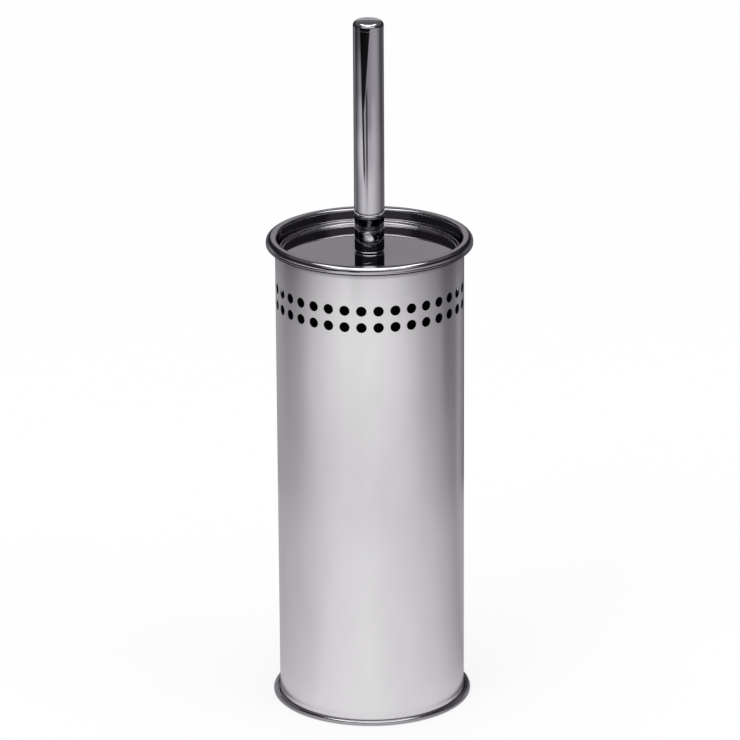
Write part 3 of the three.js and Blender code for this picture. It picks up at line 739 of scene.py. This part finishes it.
def lightTent():  # pale and dark cloth round the object, each height suited to what mirrors it
    spec = {"radius": 0.3, "height": 0.5, "footRadius": 0.0545, "clothLift": 0.0004,
            "tint": (1.0, 0.94, 1.05), "paintedFootShadow": (0.0560, 0.0578),
            # the wedge's sides: azimuth at its top, and degrees to each metre further down
            "wedgeTop": 0.291, "wedgeLeft": (-64, 260), "wedgeRight": (9, -914), "wedgeBlur": 3,
            "limitTop": 0.238, "wedgeLimit": (-35, 170), "wedgeFoot": (0.195, 0.208), "wedgeDepth": 0.97,
            "streakAt": -15, "streakHalf": (3, 9), "streakFoot": (0.178, 0.218),
            "streakHead": (0.25, 0.262), "streakDepth": 0.9,
            "back": (160, 170), "front": (35, 60), "dim": 0.06, "dimmer": 0.04, "dimmerFrom": (50, 65)}
    rings = {  # azimuth in degrees, 0 in front and 90 to the right, and brightness
        "paintedFootShadow": [(-180, 0.2), (-90, 0.1), (-66, 0.12), (-40, 0.2), (-20, 0.35), (0, 0.4), (20, 0.35),
                     (40, 0.2), (66, 0.1), (90, 0.05), (180, 0.04)],
        "ground": [(-180, 0.45), (-160, 0.46), (-134, 0.46), (-100, 0.54), (-71, 0.64), (-45, 0.79),
                   (0, 0.86), (40, 0.77), (75, 0.65), (100, 0.49), (120, 0.37), (140, 0.40), (160, 0.39),
                   (180, 0.4)],
        "bodyLow": [(-180, 0.3), (-160, 0.36), (-134, 0.38), (-97, 0.41), (-80, 0.51), (-60, 0.64),
                    (-38, 0.69), (0, 0.72), (30, 0.68), (51, 0.62), (62, 0.54), (74, 0.48), (88, 0.39),
                    (101, 0.33), (118, 0.25), (128, 0.36), (150, 0.2), (163, 0.05), (180, 0.05)],
        "bodyMid": [(-180, 0.35), (-150, 0.38), (-134, 0.37), (-113, 0.31), (-97, 0.37), (-83, 0.46),
                    (-70, 0.65), (-49, 0.81), (-28, 0.92), (1, 0.93), (21, 0.85), (36, 0.76), (51, 0.63),
                    (62, 0.50), (75, 0.41), (88, 0.35), (99, 0.19), (118, 0.20), (130, 0.36), (150, 0.2),
                    (163, 0.04), (180, 0.04)],
        "bodyHigh": [(-180, 0.3), (-150, 0.3), (-127, 0.31), (-108, 0.21), (-95, 0.25), (-83, 0.40),
                     (-71, 0.54), (-50, 0.75), (-30, 0.89), (0, 0.87), (18, 0.84), (37, 0.74), (57, 0.52),
                     (78, 0.32), (95, 0.14), (108, 0.14), (127, 0.22), (150, 0.2), (163, 0.05), (180, 0.05)],
        "collarSide": [(-180, 0.12), (-150, 0.10), (-120, 0.02), (-62, 0.01), (-48, 0.2), (-36, 0.72),
                       (-22, 0.82), (0, 0.66), (18, 0.54), (31, 0.36), (44, 0.12), (64, 0.02), (110, 0.02),
                       (140, 0.05), (160, 0.12), (180, 0.12)],
        "handleFoot": [(-180, 0.1), (-142, 0.12), (-124, 0.34), (-108, 0.13), (-95, 0.2), (-76, 0.42),
                       (-58, 0.62), (-42, 0.8), (-25, 0.66), (11, 0.82), (42, 0.66), (67, 0.41), (86, 0.28),
                       (108, 0.11), (125, 0.2), (150, 0.16), (180, 0.1)],
        "handleLow": [(-180, 0.1), (-144, 0.12), (-127, 0.28), (-112, 0.13), (-99, 0.2), (-82, 0.5),
                      (-66, 0.76), (-50, 0.80), (-34, 0.55), (-10, 0.5), (25, 0.62), (42, 0.62), (67, 0.42),
                      (86, 0.24), (108, 0.08), (122, 0.15), (150, 0.14), (180, 0.1)],
        "handleMid": [(-180, 0.1), (-144, 0.12), (-127, 0.28), (-112, 0.1), (-99, 0.14), (-84, 0.3),
                      (-68, 0.56), (-50, 0.56), (-30, 0.42), (-8, 0.32), (12, 0.36), (28, 0.56), (50, 0.50),
                      (77, 0.3), (90, 0.16), (108, 0.06), (122, 0.15), (150, 0.14), (180, 0.1)],
        "handleHigh": [(-180, 0.1), (-144, 0.12), (-127, 0.28), (-112, 0.08), (-99, 0.08), (-84, 0.2),
                       (-70, 0.34), (-42, 0.36), (-8, 0.30), (12, 0.36), (36, 0.44), (60, 0.42), (77, 0.28),
                       (90, 0.14), (108, 0.06), (122, 0.15), (150, 0.14), (180, 0.1)],
        "handleTop": [(-180, 0.1), (-144, 0.12), (-127, 0.28), (-112, 0.06), (-99, 0.02), (-84, 0.1),
                      (-70, 0.1), (-42, 0.2), (-8, 0.30), (12, 0.36), (36, 0.42), (60, 0.42), (77, 0.28),
                      (90, 0.14), (108, 0.06), (122, 0.15), (150, 0.14), (180, 0.1)],
    }
    sewn = [  # heights between which one ring's cloth gives way to the next
        ("bodyLow", 0.001, 0.02), ("bodyMid", 0.03, 0.115), ("bodyHigh", 0.135, 0.155),
        ("collarSide", 0.163, 0.166), ("handleFoot", 0.178, 0.181), ("handleLow", 0.195, 0.215),
        ("handleMid", 0.222, 0.238), ("handleHigh", 0.243, 0.257), ("handleTop", 0.262, 0.29),
    ]
    above = [  # brightness all round (None: dim), what the back and the front add, and the heights as before
        (None, 0.31, 0.0, 0.300, 0.315), (None, 0.31, 0.65, 0.375, 0.395),
        (0.05, 0.48, 0.9, 0.42, 0.44), (0.05, 0.12, 1.1, 0.456, 0.462),
    ]
    material, r = newMaterial("tent cloth")
    x, y, z = r.axes(r.place())
    azimuth = x.maths("ARCTAN2", x, -y) * (180 / math.pi)

    def ring(name):
        stops = [((angle + 180) / 360, tone) for angle, tone in rings[name]]
        return r.node("ShaderNodeValToRGB", {"stops": stops}, {0: (azimuth + 180) / 360})

    def upTo(grey, tone, low, high):
        return grey + (tone - grey) * z.rises(low, high)

    # the cloth close to the base's foot is darker: a painted contact shadow for the metal to mirror
    foot = ring("paintedFootShadow")
    grey = foot + (ring("ground") - foot) * (x * x + y * y).root().rises(*spec["paintedFootShadow"])
    for name, low, high in sewn:
        grey = upTo(grey, ring(name), low, high)

    # a black wedge, widest at the top, and a thin dark streak beside it, both for the handle to mirror
    def slanting(side, top):
        azimuthAtTop, slope = spec[side]
        return azimuthAtTop + (spec[top] - z) * slope

    blur = spec["wedgeBlur"]
    rightEdge = slanting("wedgeRight", "wedgeTop").atLeast(slanting("wedgeLimit", "limitTop"))
    wedge = (azimuth - slanting("wedgeLeft", "wedgeTop")).rises(-blur, blur)
    wedge = wedge * (rightEdge - azimuth).rises(-blur, blur) * z.rises(*spec["wedgeFoot"])
    streak = 1 - abs(azimuth - spec["streakAt"]).rises(*spec["streakHalf"])
    streak = streak * z.rises(*spec["streakFoot"]) * (1 - z.rises(*spec["streakHead"]))
    grey = grey * (1 - spec["wedgeDepth"] * wedge) * (1 - spec["streakDepth"] * streak)

    # the top of the cloth, which the lid and the collar's inside mirror
    back = abs(azimuth).rises(*spec["back"])
    front = 1 - abs(azimuth).rises(*spec["front"])
    dim = spec["dim"] - spec["dimmer"] * abs(azimuth).rises(*spec["dimmerFrom"])
    for plain, atBack, inFront, low, high in above:
        tone = (dim if plain is None else plain) + back * atBack + front * inFront
        grey = upTo(grey, tone, low, high)
    glowing(r, grey, spec["tint"])

    bm = bmesh.new()
    corners = [(spec["footRadius"], spec["clothLift"]), (spec["radius"], spec["clothLift"]),
               (spec["radius"], spec["height"])]
    outline(bm, [(radius / mm, level / mm, 0) for radius, level in corners], closed=False)
    spun(bm, 96)
    forReflections(staged("lightTent", bm, material))


def ceiling():  # dark, with a soft box over the object and a little in front of it
    spec = {"height": 1.25, "radius": 12.0, "dark": 0.12, "tint": (1.0, 0.985, 1.0), "boxGlow": 2.2,
            "boxHalf": 0.66, "boxFront": -0.95, "boxBack": -0.1, "boxEdge": 0.05,
            "horns": 0.36, "hornsFrom": (0.24, 0.42)}
    material, r = newMaterial("ceiling cloth")
    x, y, z = r.axes(r.place())

    def within(value, low, high):
        return value.rises(low, low + spec["boxEdge"]) * (1 - value.rises(high - spec["boxEdge"], high))

    # the back edge of the box reaches further at both ends
    back = spec["boxBack"] + spec["horns"] * abs(x).rises(*spec["hornsFrom"])
    box = within(x, -spec["boxHalf"], spec["boxHalf"]) * within(y - back, spec["boxFront"], 0.0)
    glowing(r, spec["dark"] + box * (spec["boxGlow"] - spec["dark"]), spec["tint"])
    bm = bmesh.new()
    bmesh.ops.create_circle(bm, cap_ends=True, segments=96, radius=spec["radius"])
    bmesh.ops.translate(bm, verts=bm.verts[:], vec=(0, 0, spec["height"]))
    forReflections(staged("ceiling", bm, material))


def worldAndLamps():
    spec = {"aim": (0, 0, 0.18), "lamps": {  # place, size and watts
        "keyLamp": ((-0.9, -1.1, 1.5), 0.9, 6.0), "fillLamp": ((1.2, -0.6, 1.1), 0.9, 3.0)}}
    world = bpy.data.worlds.new("studio")
    bpy.context.scene.world = world
    r = Recipe(world)
    sky = r.node("ShaderNodeBackground", inputs={"Color": (1, 1, 1, 1), "Strength": 1.0})
    r.node("ShaderNodeOutputWorld", inputs={"Surface": sky})
    for name, (at, size, watts) in spec["lamps"].items():
        lamp = bpy.data.lights.new(name, "AREA")
        lamp.size, lamp.energy = size, watts
        holder = bpy.data.objects.new(name, lamp)
        bpy.context.scene.collection.objects.link(holder)
        holder.location = at
        toAim = Vector(spec["aim"]) - Vector(at)
        holder.rotation_euler = toAim.to_track_quat("-Z", "Y").to_euler()
        holder.visible_glossy = False  # the mirrors see the tent and the soft box in its place


def camera():
    spec = {"place": (0.0, -2.38456, 1.02341), "aim": (-0.000134, 0.0, 0.18331), "lens": 230.81,
            "sensor": 36.0, "clip": (0.01, 200.0), "rollDegrees": -0.339}
    lens = bpy.data.cameras.new("camera")
    lens.lens, lens.sensor_width = spec["lens"], spec["sensor"]
    lens.clip_start, lens.clip_end = spec["clip"]
    holder = bpy.data.objects.new("camera", lens)
    bpy.context.scene.collection.objects.link(holder)
    place, aim = Vector(spec["place"]), Vector(spec["aim"])
    level = (aim - place).to_track_quat("-Z", "Y").to_matrix().to_4x4()
    roll = Matrix.Rotation(math.radians(spec["rollDegrees"]), 4, "Z")
    holder.matrix_world = Matrix.Translation(place) @ level @ roll
    bpy.context.scene.camera = holder


studioFloor()
lightTent()
ceiling()
worldAndLamps()
camera()
print("studio ready")
bpy.context.scene.view_settings.view_transform = "Standard"
